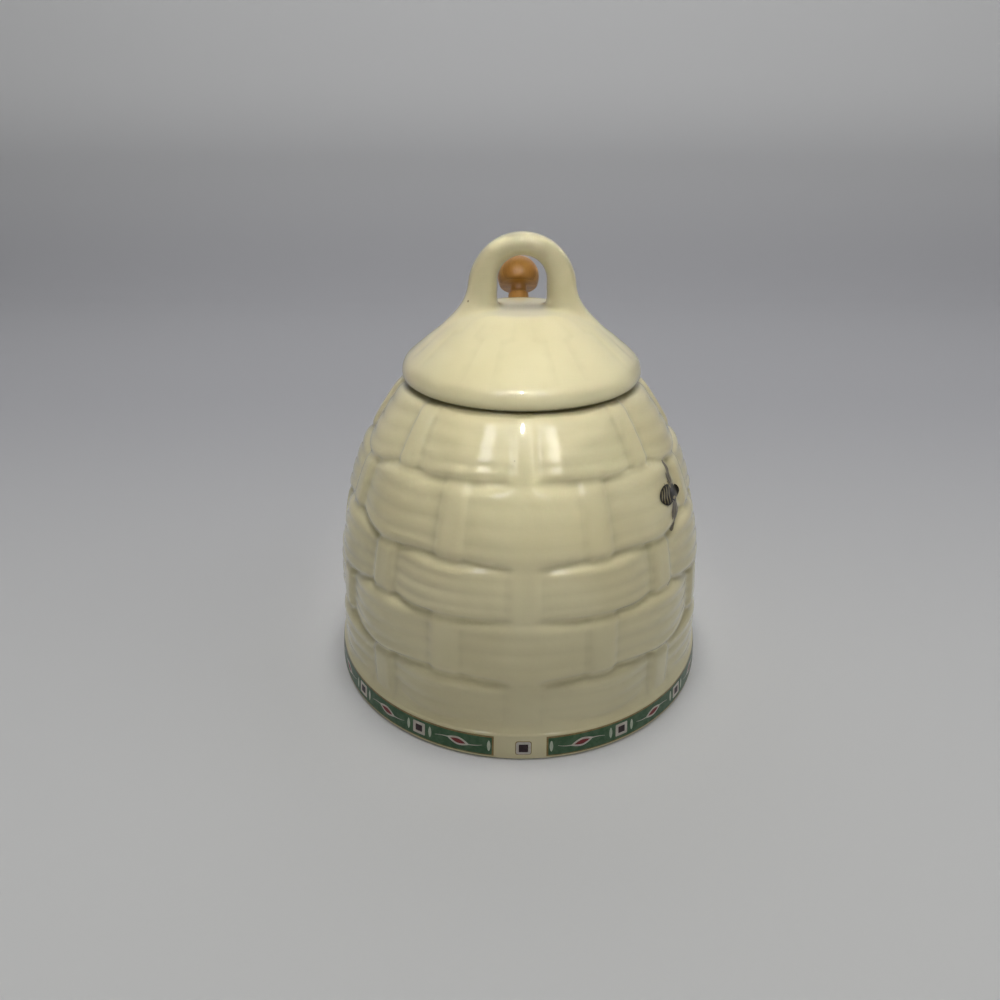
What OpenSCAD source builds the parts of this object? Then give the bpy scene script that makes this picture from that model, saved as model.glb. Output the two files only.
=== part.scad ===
// Beehive honey pot: a glazed pot with a basket weave in relief, a loose lid with a loop handle
// and a notch at the back, and a turned wooden honey dipper that stands in the pot.
// Millimetres. The origin is the centre of the foot on the table, +Z is up and -Y is the front.

/* [Pot] */
// Height from the table to the flat land that the lid rests on
pot_h = 88.8; // [80:0.2:100]
// Mean radius of the weave at the belly
belly_r = 54.6; // [50:0.2:60]
// Power of the shoulder curve: more keeps the sides upright for longer
shoulder_power = 3; // [2.4:0.1:3.6]
// Radius of the mouth
mouth_r = 28.8; // [26:0.2:32]
// Width of the flat land round the mouth
land_w = 4.2; // [3.6:0.1:6]
// Radius of the mouth's inner edge
mouth_edge_r = 1.2; // [0.6:0.1:1.6]
// Thickness of the wall at the belly
wall = 5.2; // [4.4:0.1:6.5]
// Thickness of the floor
floor_t = 6.3; // [5:0.1:9]
// Radius between floor and wall inside
floor_fillet = 8; // [4:0.5:12]

/* [Foot] */
// Height of the smooth band round the foot
band_h = 8.3; // [6:0.1:11]
// How far the top of the band stands out from the weave
band_proud = 1.7; // [1:0.1:3]
// How far the band leans in from the table to its top
band_lean = 0.6; // [0.2:0.1:1.5]
// Radius of the band's top edge
band_edge_r = 0.9; // [0.4:0.1:1.4]
// Width of the ring that the pot stands on
foot_ring_w = 7; // [5:0.5:12]
// Depth of the recess under the foot
recess_d = 1.6; // [0.8:0.1:2.4]

/* [Weave] */
// Rows of weaving round the pot
rows = 5; // [4:1:6]
// Stakes round the pot, half of them showing in any one row
stakes = 16; // [12:2:20]
// Reeds side by side in one row
reeds = 4; // [3:1:5]
// Width of a stake at the belly
stake_w = 6.4; // [4.5:0.1:8]
// Width of the crease beside a stake
crease_w = 1.3; // [0.8:0.1:2]
// How far a weaver stands out where it passes over a stake
bulge = 1; // [0.5:0.1:1.6]
// How far a weaver lies in where it passes behind a stake
dip = 0.7; // [0.4:0.1:1.3]
// How far a stake that shows stands out
stake_lift = 0.5; // [0.2:0.1:1]
// Depth of the grooves between the reeds of a row
reed_depth = 0.45; // [0.2:0.05:0.8]
// Depth of the grooves between rows
row_depth = 1.1; // [0.5:0.1:1.5]
// How far the line between two rows rises and falls
row_wave = 1.1; // [0:0.1:1.8]

/* [Lid] */
// How far the lid's rim stands past the pot's land
lid_overhang = 0.2; // [0:0.1:1.5]
// Height of the flat top above the land
lid_rise = 18.9; // [16:0.1:24]
// Radius of the flat top under the loop
plateau_r = 11.5; // [10:0.1:13]
// How softly the flat top turns into the slope
crown_blend = 5.7; // [3:0.1:8]
// Radius of the rim's lower edge
rim_low_r = 1.4; // [0.8:0.1:2]
// Radius of the rim's upper edge
rim_top_r = 5.6; // [4:0.1:7]
// Thickness of the lid
lid_wall = 4.4; // [3.6:0.1:5.5]
// How deep the collar reaches into the mouth
collar_depth = 7; // [5:0.5:10]
// Thickness of the collar
collar_t = 2.8; // [2:0.1:3.6]
// Width of a stake on the lid's slope
lid_stake_w = 3.8; // [2.5:0.1:5]
// Share of the pot's relief that the lid carries
lid_relief = 0.4; // [0.2:0.05:0.8]

/* [Loop handle] */
// Width of the finger gap
gap_w = 13.1; // [11:0.1:15]
// Height of the finger gap above the flat top
gap_h = 13.5; // [11:0.1:18]
// Thickness of the bar at the top of the loop
bar_t = 5.8; // [4.5:0.1:7.5]
// Thickness of each leg beside the gap
leg_t = 7.9; // [6:0.1:9]
// How fast the legs flare as they run down into the lid
leg_flare = 0.055; // [0.03:0.005:0.07]
// Depth of the loop from front to back
loop_depth = 8.6; // [7:0.1:11]

/* [Dipper] */
// Diameter of the dipper's handle
handle_d = 6.4; // [5:0.1:8]
// Diameter of the neck under the knob
neck_d = 5.4; // [4:0.1:7]
// Diameter of the ball knob
knob_d = 13.1; // [10:0.1:16]
// Distance from the ball's centre down to its flat underside
knob_cut = 3.1; // [2:0.1:4.5]
// Diameter of the grooved head
head_d = 25; // [20:0.5:28]
// Length of the grooved head
head_len = 36; // [30:0.5:42]
// Discs along the head
discs = 8; // [6:1:10]
// Share of the head's length that is disc, not groove
disc_share = 0.55; // [0.4:0.05:0.7]
// Diameter of the core between the discs
core_d = 10.4; // [8.5:0.1:14]
// Room between the head and the pot's front wall
front_gap = 6.8; // [3:0.2:10]

/* [Fits] */
// Gap under the lid where it rests on the land
seat_gap = 0.3; // [0.1:0.05:0.6]
// Gap all round between collar and mouth
collar_gap = 1; // [0.5:0.1:1.5]
// Gap between the dipper and the pot that it leans on
lean_gap = 0.3; // [0.1:0.05:0.6]
// Gap between the handle and the sides of the lid's notch
notch_gap = 1.5; // [0.8:0.1:2.5]
// Room by which the knob clears the lid's rim when the lid is lifted
knob_gap = 0.55; // [0.3:0.05:2]

/* [Hidden] */
$fn = 96;

ivory = "#E8E1BC";
beech = "#B8752C";

// Past a face, so that a cut leaves no skin
over = 1;

// Pot
rim_r = mouth_r + land_w;
band_top_r = belly_r + band_proud;
foot_r = band_top_r + band_lean;
inner_belly_r = belly_r - wall;
mouth_edge = [mouth_r + mouth_edge_r, pot_h - mouth_edge_r];

// Weave
row_h = (pot_h - band_h) / rows;
stake_step = 360 / stakes;
stake_half = asin(stake_w / 2 / belly_r);
crease = stake_half + asin(crease_w / belly_r);
reed_turn = 180 * reeds;
seam_half = 1.6 * crease;
row_edge = 0.14;
// Where the weave starts above the band, and how far its root runs down inside the band
weave_start = 0.2;
weave_root = 2.5;
// Heights within a row: its lower edge, then every crown and groove of its reeds
row_steps = concat([0, 0.36 / reeds], [for (k = [2 : 2 * reeds - 2]) k / (2 * reeds)], [1 - 0.36 / reeds]);

// Lid
lid_r = rim_r + lid_overhang;
seat_z = pot_h + seat_gap;
plateau_z = pot_h + lid_rise;
rim_turn = 50;
rim_mid_z = seat_z + rim_low_r;
crown_r = lid_r - rim_top_r * (1 - cos(rim_turn));
crown_slope = (plateau_z - rim_mid_z - rim_top_r * sin(rim_turn)) / crown_run(crown_r);
collar_r = mouth_r - collar_gap;
collar_in_r = collar_r - collar_t;
lid_reeds = 3;
lid_row_r = [crown_r, (crown_r + plateau_r) / 2 - 1, plateau_r];
lid_stake_half = asin(lid_stake_w / 2 / ((crown_r + plateau_r) / 2));
lid_crease = 1.35 * lid_stake_half;

// Loop
gap_r = gap_w / 2;
arch_z = plateau_z + gap_h - gap_r;
leg_sink = lid_wall / 2;
loop_sides = 12;

// Dipper: its head stands on the floor near the front, its handle leans on the back of the mouth
handle_r = handle_d / 2;
knob_r = knob_d / 2;
head_r = head_d / 2;
core_r = core_d / 2;
head_z = floor_t + head_r + lean_gap;
head_y = -(inner_r(floor_t + floor_fillet) - head_r - front_gap);
lean = [mouth_edge[0] - head_y, mouth_edge[1] - head_z];
tilt = atan2(lean[0], lean[1]) - asin((mouth_edge_r + handle_r + lean_gap) / norm(lean));
knob_y = lid_r + knob_r + knob_gap;
shaft_len = (knob_y - head_y) / sin(tilt) + head_r;
notch_r = handle_r + notch_gap;

// Share of the shoulder's curve at a height, 0 at the top of the band and 1 at the land
function rise(z) = pow(max(0, (z - band_h) / (pot_h - band_h)), shoulder_power);

// Mean radius of the weave, and radius of the wall inside, at a height
function outer_r(z) = belly_r - (belly_r - rim_r) * rise(z);
function inner_r(z) = inner_belly_r - (inner_belly_r - mouth_r) * rise(z);

// Points of an arc in the profile plane
function arc(centre, r, from, to, steps) =
    [for (i = [0 : steps]) let (a = from + (to - from) * i / steps) centre + r * [cos(a), sin(a)]];

// Angle from the nearest stake that shows in a row, in degrees
function from_stake(angle, row) =
    let (step = 2 * stake_step, a = angle - (row % 2) * stake_step) abs(a - step * round(a / step));

// Angles at which the weave is sampled: every stake's edges and creases, and midway between stakes
function weave_angles(half, groove) = [for (k = [0 : stakes - 1])
    for (a = [half, groove, stake_step / 2, stake_step - groove, stake_step - half])
        k * stake_step + a];

// The weave fades into a smooth seam at the front and the back, 0 on the seam and 1 clear of it
function seam_fade(angle) =
    let (a = abs(angle - 180 * round(angle / 180))) a >= seam_half ? 1 : pow(sin(90 * a / seam_half), 2);

// Height of the weave at an angle from the nearest stake that shows, before the reeds are cut
function lift(gap, half, groove) = gap < (half + groove) / 2
    ? stake_lift
    : -dip + (bulge + dip) * sin(90 * (gap - groove) / (stake_step - groove));

// Depth of the grooves between reeds, and of the groove at a row's edges, at a share of its height
function reed_cut(v, turn) = reed_depth * (1 - pow(abs(sin(turn * v)), 0.7));
function edge_cut(v) = row_depth * pow(max(0, 1 - min(v, 1 - v) / row_edge), 1.5);

// Height of the line under a row: flat at the band and the land, and waved in between
function row_line(row, angle) = row == 0 ? band_h + weave_start : row == rows ? pot_h
    : band_h + row * row_h
        + row_wave * seam_fade(angle) * cos(180 / stake_step * (angle - (row % 2) * stake_step));

// One point of the pot's weave
function pot_point(angle, row, v) =
    let (z = row_line(row, angle) * (1 - v) + row_line(row + 1, angle) * v,
         gap = from_stake(angle, row),
         fade = seam_fade(angle),
         reed = gap < (stake_half + crease) / 2 ? 0 : reed_cut(v, reed_turn) * fade,
         edge = edge_cut(v) * (0.35 + 0.65 * fade),
         r = outer_r(z) + lift(gap, stake_half, crease) - reed - edge)
    [r * sin(angle), -r * cos(angle), z];

// Run of the crown's curve from the flat top to a radius, and its height there
function crown_run(r) = norm([r - plateau_r, crown_blend]) - crown_blend;
function crown_z(r) = plateau_z - crown_slope * crown_run(r);

// One point of the lid's weave, on the crown between two radii
function lid_point(angle, row, v) =
    let (r = lid_row_r[row] * (1 - v) + lid_row_r[row + 1] * v,
         gap = from_stake(angle, row + rows),
         reed = gap < (lid_stake_half + lid_crease) / 2 ? 0 : reed_cut(v, 180 * lid_reeds),
         edge = row == 0 && v < 0.5 ? 0 : edge_cut(v) / 2,
         outer = sin(180 * pow((crown_r - r) / (crown_r - plateau_r), 0.6)),
         h = lid_relief * outer * (lift(gap, lid_stake_half, lid_crease) - reed - edge))
    [(r + h / 2) * sin(angle), -(r + h / 2) * cos(angle), crown_z(r) + h * 0.8];

// Middle of a ring of points
function middle(ring) = [for (p = ring) 1] * ring / len(ring);

// A solid between rings of points, each ring anticlockwise from above and above the last
module ring_solid(rings) {
    n = len(rings[0]);
    last = len(rings) - 1;
    low = n * len(rings);
    sides = [for (i = [0 : last - 1], j = [0 : n - 1])
        let (a = i * n + j, b = i * n + (j + 1) % n)
            each [[a, b + n, b], [a, a + n, b + n]]];
    caps = [for (j = [0 : n - 1])
        each [[low, j, (j + 1) % n], [low + 1, last * n + (j + 1) % n, last * n + j]]];
    polyhedron(
        points = concat([for (ring = rings) each ring], [middle(rings[0]), middle(rings[last])]),
        faces = concat(sides, caps));
}

// The woven wall from inside the band up to the land, still solid inside
module pot_weave() {
    angles = weave_angles(stake_half, crease);
    rings = [for (row = [0 : rows - 1], v = row_steps) [for (a = angles) pot_point(a, row, v)]];
    root = [for (p = rings[0]) [p[0], p[1], band_h - weave_root]];
    land = [for (a = angles) pot_point(a, rows - 1, 1)];
    ring_solid(concat([root], rings, [land]));
}

// The smooth band round the foot
module foot_band() {
    rotate_extrude() polygon(concat(
        [[0, 0], [foot_r - 0.8, 0], [foot_r, 0.8]],
        arc([band_top_r - band_edge_r, band_h - band_edge_r], band_edge_r, 0, 90, 5),
        [[0, band_h]]));
}

// The space inside the pot, with a round edge at the mouth
module cavity() {
    low = floor_t + floor_fillet;
    turn_z = pot_h - 2 * mouth_edge_r;
    rotate_extrude() polygon(concat(
        [[0, floor_t]],
        arc([inner_r(low) - floor_fillet, low], floor_fillet, -90, 0, 6),
        [for (i = [1 : 16]) let (z = low + (turn_z - low) * i / 16) [inner_r(z), z]],
        arc(mouth_edge, mouth_edge_r, 180, 110, 4),
        [[mouth_edge[0], pot_h + over], [0, pot_h + over]]));
}

module pot() {
    color(ivory) difference() {
        union() {
            foot_band();
            pot_weave();
        }
        cavity();
        translate([0, 0, -over])
            cylinder(h = recess_d + over, r1 = foot_r - foot_ring_w + over, r2 = foot_r - foot_ring_w - recess_d);
    }
}

// The lid's outside: flat underneath, a round rim, then the woven crown up to the flat top
module lid_crown() {
    angles = weave_angles(lid_stake_half, lid_crease);
    rim = concat(
        arc([lid_r - rim_low_r, rim_mid_z], rim_low_r, -90, -18, 3),
        arc([lid_r - rim_top_r, rim_mid_z], rim_top_r, 0, rim_turn - 8, 4));
    rim_rings = [for (p = rim) [for (a = angles) [p[0] * sin(a), -p[0] * cos(a), p[1]]]];
    crown_rings = [for (row = [0, 1], k = [0 : 2 * lid_reeds - 1])
        [for (a = angles) lid_point(a, row, k / (2 * lid_reeds))]];
    top = [for (a = angles) [plateau_r * sin(a), -plateau_r * cos(a), plateau_z]];
    ring_solid(concat(rim_rings, crown_rings, [top]));
}

// One ring of the loop between an inner and an outer point of its outline
function loop_ring(inner, outer, depth) =
    let (mid = (inner + outer) / 2, half = (outer - inner) / 2)
    [for (i = [0 : loop_sides - 1])
        let (a = 360 * i / loop_sides, c = cos(a), s = sin(a),
             p = mid + half * sign(c) * pow(abs(c), 0.8))
        [p[0], -depth / 2 * sign(s) * pow(abs(s), 0.8), p[1]]];

// A ring of a leg, from the arch at 0 to the foot at 1
function leg_ring(side, t) =
    let (foot_x = gap_r + leg_t + leg_flare * pow(arch_z - plateau_z + leg_sink, 2),
         outer_z = arch_z + t * (crown_z(foot_x) - lid_wall / 4 - arch_z),
         outer_x = gap_r + leg_t + leg_flare * pow(arch_z - outer_z, 2),
         inner_z = arch_z + t * (plateau_z - leg_sink - arch_z))
    loop_ring([side * gap_r, inner_z], [side * outer_x, outer_z], loop_depth * (1 + 0.5 * t * t));

// A ring of the arch, at an angle from straight up
function arch_ring(a) =
    let (outer = gap_r + bar_t + (leg_t - bar_t) * pow(abs(a) / 90, 2), way = [sin(a), cos(a)])
    loop_ring([0, arch_z] + gap_r * way, [0, arch_z] + outer * way, loop_depth);

// The loop handle, from one foot over the arch to the other
module loop() {
    ring_solid(concat(
        [for (t = [1, 0.75, 0.45]) leg_ring(-1, t)],
        [for (a = [-90 : 18 : 90]) arch_ring(a)],
        [for (t = [0.45, 0.75, 1]) leg_ring(1, t)]));
}

// The collar that keeps the lid over the mouth, up into the lid's body
module collar() {
    translate([0, 0, seat_z - collar_depth]) cylinder(h = collar_depth + rim_low_r, r = collar_r);
}

// The hollow under the crown and inside the collar
module lid_hollow() {
    rotate_extrude() polygon(concat(
        [[0, seat_z - collar_depth - over], [collar_in_r, seat_z - collar_depth - over]],
        [for (i = [0 : 8]) let (r = collar_in_r + (plateau_r - collar_in_r) * i / 8)
            [r, crown_z(r) - lid_wall]],
        [[0, plateau_z - lid_wall]]));
}

// The way of the dipper's handle through the lid, open to the back
module notch() {
    reach = lid_r + lid_rise + collar_depth;
    on_shaft() {
        translate([0, 0, shaft_len - reach]) cylinder(h = 2 * reach, r = notch_r);
        translate([-0.96 * notch_r, 0, shaft_len - reach]) cube([1.92 * notch_r, reach, 2 * reach]);
    }
}

module lid() {
    color(ivory) difference() {
        union() {
            lid_crown();
            loop();
            collar();
        }
        lid_hollow();
        notch();
    }
}

// Places what is drawn along +Z from the dipper's tip on its leaning line
module on_shaft() {
    translate([0, head_y, head_z]) rotate([-tilt, 0, 0]) translate([0, 0, -head_r]) children();
}

// Radius of the head's outline at a distance from its tip
function head_outline(t) =
    let (top = head_len - head_r)
    t < head_r ? sqrt(t * (2 * head_r - t))
    : t < top ? head_r : head_r * sqrt(1 - 0.55 * pow((t - top) / head_r, 2));

// One disc of the head, with its edges broken
function disc_points(k) =
    let (pitch = head_len / discs, low = k * pitch, high = low + disc_share * pitch, e = 0.5)
    [[core_r, low], [head_outline(low) - e, low], [head_outline(low + e), low + e],
     [head_outline(high - e), high - e], [head_outline(high) - e, high], [core_r, high]];

// The turned head, handle and neck, with the tip at the origin
module turned_stick() {
    underside = shaft_len - knob_cut;
    first = [for (p = disc_points(0)) if (p[1] > 0) p];
    rotate_extrude() polygon(concat(
        [[0, 0]], first,
        [for (k = [1 : discs - 1]) each disc_points(k)],
        [[core_r, head_len], [handle_r, head_len + 5], [handle_r, underside - 3.2]],
        arc([neck_d / 2 - 0.2, underside - 3.2], handle_r - neck_d / 2 + 0.2, 20, 90, 3),
        [[neck_d / 2 - 0.2, underside + over], [0, underside + over]]));
}

// The ball knob, cut flat underneath
module knob() {
    translate([0, 0, shaft_len]) intersection() {
        sphere(r = knob_r);
        translate([-knob_r, -knob_r, -knob_cut]) cube(2 * knob_r);
    }
}

module dipper() {
    color(beech) on_shaft() {
        turned_stick();
        knob();
    }
}

pot();
lid();
dipper();
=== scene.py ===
"""Beehive honey pot: a glazed pot with basket weave in relief and a printed border, a loose lid with a
loop handle, and a turned wooden dipper. Sizes are in millimetres until a mesh is finished, then metres.
The pot stands on z = 0, its axis is Z and its front faces -Y."""
import logging
import math
from dataclasses import dataclass, field
from enum import Enum
from typing import Any, Callable, ClassVar, Optional, Sequence

import bmesh
import bpy
import numpy as np
from mathutils import Matrix, Vector


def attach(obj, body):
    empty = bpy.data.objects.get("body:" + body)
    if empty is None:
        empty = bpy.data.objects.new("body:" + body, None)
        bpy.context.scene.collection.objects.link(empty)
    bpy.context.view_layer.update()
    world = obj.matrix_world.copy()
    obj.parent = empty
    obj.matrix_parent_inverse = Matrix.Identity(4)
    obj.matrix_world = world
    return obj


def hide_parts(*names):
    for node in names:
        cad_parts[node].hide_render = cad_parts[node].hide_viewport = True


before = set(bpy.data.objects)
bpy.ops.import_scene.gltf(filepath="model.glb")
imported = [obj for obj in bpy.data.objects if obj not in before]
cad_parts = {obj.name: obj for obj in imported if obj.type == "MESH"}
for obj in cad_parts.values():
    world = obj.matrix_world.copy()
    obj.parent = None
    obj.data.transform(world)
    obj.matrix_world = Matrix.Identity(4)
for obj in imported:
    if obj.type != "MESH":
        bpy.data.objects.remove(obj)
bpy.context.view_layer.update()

MM = 0.001  # a millimetre in metres
MERGE = 1e-4  # points closer than this become one
NEAR = 1e-3  # points closer than this count as level
GLAZE_TAPS = 5  # samples in each direction when the glaze evens out a height
ALMOND_POWER = 1.7  # how full an almond is
LOG = logging.getLogger("honey_pot")

Point = tuple[float, float]
Place = tuple[float, float, float]
Colour = tuple[float, float, float]
Form = Callable[[float, float], Point]
Mesh = bmesh.types.BMesh


class Part(Enum):
    """The three loose things that the pot is made of."""

    POT = ("pot", "pot_glaze")
    LID = ("lid", "lid_glaze")
    DIPPER = ("dipper", "turned_wood")

    def __init__(self, body: str, slot: str) -> None:
        """Keeps the body, which has its plain solid's name, and the slot of its finish in the record."""
        self.body = body
        self.slot = slot


# Shader tools


class Value:
    """A number in a shader, which adds its Math nodes as it is worked with."""

    def __init__(self, shader: "Shader", socket: Any) -> None:
        """Keeps the shader and the socket that carries the number."""
        self.shader = shader
        self.socket = socket

    def _math(self, operation: str, other: Any) -> "Value":
        """Adds one Math node.

        Args:
            operation: The node's operation.
            other: The number or value that follows this one.

        Returns:
            The node's result.
        """
        node = self.shader.node("ShaderNodeMath", {"operation": operation}, {0: self, 1: other})
        return Value(self.shader, node.outputs[0])

    def __add__(self, other: Any) -> "Value":
        """Sum."""
        return self._math("ADD", other)

    __radd__ = __add__

    def __sub__(self, other: Any) -> "Value":
        """Difference."""
        return self._math("SUBTRACT", other)

    def __rsub__(self, other: float) -> "Value":
        """Difference from a number."""
        return (self * -1.0)._math("ADD", other)

    def __mul__(self, other: Any) -> "Value":
        """Product."""
        return self._math("MULTIPLY", other)

    __rmul__ = __mul__

    def step(self, low: float, high: float) -> "Value":
        """Smooth step.

        Args:
            low: Where the result is 0.
            high: Where the result is 1.

        Returns:
            A value that runs softly from 0 to 1.
        """
        node = self.shader.node("ShaderNodeMapRange", {"interpolation_type": "SMOOTHSTEP"},
                                {"Value": self, "From Min": low, "From Max": high})
        return Value(self.shader, node.outputs["Result"])


class Shader:
    """A material's node tree with one Principled BSDF."""

    def __init__(self, name: str) -> None:
        """Starts the material `name`.

        Args:
            name: The material's name.
        """
        self.material = bpy.data.materials.new(name)
        self.material.use_nodes = True
        self.tree = self.material.node_tree
        self.tree.nodes.clear()
        self.out = self.node("ShaderNodeOutputMaterial")
        self.surface = self.node("ShaderNodeBsdfPrincipled")
        self.tree.links.new(self.surface.outputs[0], self.out.inputs["Surface"])

    def node(self, kind: str, settings: Optional[dict[str, Any]] = None,
             inputs: Optional[dict[Any, Any]] = None) -> bpy.types.Node:
        """Adds a node.

        Args:
            kind: The node's type.
            settings: Its own properties, which are set first; "stops" gives a colour ramp's stops.
            inputs: Values or links of its sockets, by name or number.

        Returns:
            The node.
        """
        node = self.tree.nodes.new(kind)
        for key, value in (settings or {}).items():
            if key == "stops":
                ramp = node.color_ramp
                while len(ramp.elements) < len(value):
                    ramp.elements.new(0.5)
                for element, (place, colour) in zip(ramp.elements, value):
                    element.position = place
                    element.color = (*colour, 1.0)
            else:
                setattr(node, key, value)
        for key, value in (inputs or {}).items():
            self.feed(node.inputs[key], value)
        return node

    def feed(self, socket: bpy.types.NodeSocket, value: Any) -> None:
        """Links a value to a socket, or sets the socket to a number or a colour."""
        if isinstance(value, Value):
            self.tree.links.new(value.socket, socket)
        elif isinstance(value, bpy.types.NodeSocket):
            self.tree.links.new(value, socket)
        elif isinstance(value, tuple) and len(value) == 3 and socket.type == "RGBA":
            socket.default_value = (*value, 1.0)
        else:
            socket.default_value = value

    def set(self, **inputs: Any) -> None:
        """Sets the surface's sockets, with _ in place of a space in their names."""
        for key, value in inputs.items():
            self.feed(self.surface.inputs[key.replace("_", " ")], value)

    def place(self, turn: Place = (0, 0, 0), scale: Place = (1, 1, 1)) -> bpy.types.NodeSocket:
        """Object coordinates in millimetres, turned and then scaled.

        Args:
            turn: Turn about X, Y and Z in radians.
            scale: Scale along each turned axis.

        Returns:
            The vector's socket.
        """
        where = self.node("ShaderNodeTexCoord")
        turned_to = self.node("ShaderNodeMapping", {}, {"Vector": where.outputs["Object"], "Rotation": turn})
        sized = self.node("ShaderNodeMapping", {}, {
            "Vector": turned_to.outputs[0], "Scale": tuple(s / MM for s in scale)})
        return sized.outputs[0]

    def noise(self, where: bpy.types.NodeSocket, scale: float, detail: float = 2.0,
              roughness: float = 0.5) -> Value:
        """Noise at a scale per millimetre.

        Args:
            where: The coordinates.
            scale: Waves per millimetre.
            detail: Octaves.
            roughness: How strong the finer octaves are.

        Returns:
            The noise, about 0.5.
        """
        node = self.node("ShaderNodeTexNoise", {}, {
            "Vector": where, "Scale": scale, "Detail": detail, "Roughness": roughness})
        return Value(self, node.outputs[0])

    def mix(self, share: Any, first: Any, second: Any) -> bpy.types.NodeSocket:
        """Mixes two colours.

        Args:
            share: Share of the second colour.
            first: The first colour.
            second: The second colour.

        Returns:
            The colour's socket.
        """
        node = self.node("ShaderNodeMix", {"data_type": "RGBA"})
        self.feed(node.inputs[0], share)
        self.feed(node.inputs[6], first)
        self.feed(node.inputs[7], second)
        return node.outputs[2]

    def axis(self, where: bpy.types.NodeSocket, number: int) -> Value:
        """One of a place's three coordinates, counted from 0."""
        return Value(self, self.node("ShaderNodeSeparateXYZ", {}, {0: where}).outputs[number])

    def attribute(self, name: str) -> Value:
        """A number kept on the mesh's points."""
        return Value(self, self.node("ShaderNodeAttribute", {"attribute_name": name}).outputs["Fac"])

    def bump(self, height: Value, depth: float) -> None:
        """Bumps the surface by a height between 0 and 1 that is worth `depth` millimetres."""
        node = self.node("ShaderNodeBump", {}, {"Height": height, "Distance": depth * MM, "Strength": 1.0})
        self.feed(self.surface.inputs["Normal"], node.outputs[0])


# Finishes


@dataclass(frozen=True)
class Glaze:
    """Clear gloss glaze over an ivory body. It looks deeper and greener where it pools in the hollows, and
    the same darker colour is also painted shade in the weave's grooves and painted shadow where lid and pot
    meet.
    """

    body: Colour = (0.685, 0.618, 0.365)
    pale: Colour = (0.725, 0.662, 0.405)
    pooled_and_shaded: Colour = (0.47, 0.42, 0.235)
    speck: Colour = (0.16, 0.12, 0.07)
    bare: Colour = (0.66, 0.61, 0.47)
    pooling_and_shade: float = 1.05
    roughness: float = 0.30
    bare_roughness: float = 0.40
    coat_roughness: float = 0.06
    ior: float = 1.5
    specular: float = 0.12
    cloud_scale: float = 0.035
    speck_spacing: float = 11.0
    speck_size: float = 0.40
    speck_core: float = 0.4
    speck_share: Point = (0.50, 0.54)
    speck_strength: float = 0.8
    bare_below: Point = (0.05, 0.35)
    grit_scale: float = 2.2
    skin_scales: Point = (0.16, 0.9)
    skin_depth: float = 0.10

    def specks(self, shader: Shader, where: bpy.types.NodeSocket) -> Value:
        """Share of the small dark specks that iron in the clay leaves, in some cells of a Voronoi pattern.

        Args:
            shader: The material's node tree.
            where: The coordinates.

        Returns:
            The share, from 0 to 1.
        """
        cells = shader.node("ShaderNodeTexVoronoi", {}, {
            "Vector": where, "Scale": 1 / self.speck_spacing, "Randomness": 1.0})
        size = self.speck_size / self.speck_spacing
        near = 1.0 - Value(shader, cells.outputs["Distance"]).step(self.speck_core * size, size)
        number = shader.node("ShaderNodeSeparateColor", {}, {0: cells.outputs["Color"]}).outputs[0]
        return near * Value(shader, number).step(*self.speck_share) * self.speck_strength

    def material(self, name: str) -> bpy.types.Material:
        """Makes the material `name`.

        Args:
            name: The material's name.

        Returns:
            The material.
        """
        shader = Shader(name)
        where = shader.place()
        clouds = shader.noise(where, self.cloud_scale, 3.0).step(0.35, 0.65)
        colour = shader.mix(clouds, self.body, self.pale)
        # Hollow mark: partly glaze pooling, partly painted shade in the grooves, and painted shadow where
        # lid and pot meet.
        colour = shader.mix(shader.attribute("hollow") * self.pooling_and_shade, colour, self.pooled_and_shaded)
        colour = shader.mix(self.specks(shader, where), colour, self.speck)
        foot = 1.0 - shader.axis(where, 2).step(*self.bare_below)
        clay = shader.mix(shader.noise(where, self.grit_scale, 3.0), self.bare, self.pale)
        shader.set(Base_Color=shader.mix(foot, colour, clay),
                   Roughness=foot * self.bare_roughness + self.roughness, IOR=self.ior,
                   Specular_IOR_Level=self.specular, Coat_Weight=1.0 - foot,
                   Coat_Roughness=self.coat_roughness)
        broad, fine = [shader.noise(where, scale, 2.0) for scale in self.skin_scales]
        shader.bump(broad * 0.75 + fine * 0.25, self.skin_depth)
        return shader.material


@dataclass(frozen=True)
class Enamel:
    """Printed colour under the glaze, with the uneven cover of a transfer print."""

    colour: Colour
    worn: Colour
    layer: float
    roughness: float = 0.30
    specular: float = 0.06
    coat: float = 0.45
    coat_roughness: float = 0.06
    cover_scale: float = 0.55
    dot_scale: float = 4.0

    def material(self, name: str) -> bpy.types.Material:
        """Makes the material `name`.

        Args:
            name: The material's name.

        Returns:
            The material.
        """
        shader = Shader(name)
        where = shader.place()
        cover = shader.noise(where, self.cover_scale, 3.0, 0.6).step(0.36, 0.68)
        dots = shader.noise(where, self.dot_scale, 1.0).step(0.55, 0.75)
        shader.set(Base_Color=shader.mix(cover * 0.8 + dots * 0.175, self.colour, self.worn),
                   Roughness=self.roughness, Specular_IOR_Level=self.specular,
                   Coat_Weight=self.coat, Coat_Roughness=self.coat_roughness)
        return shader.material


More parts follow.
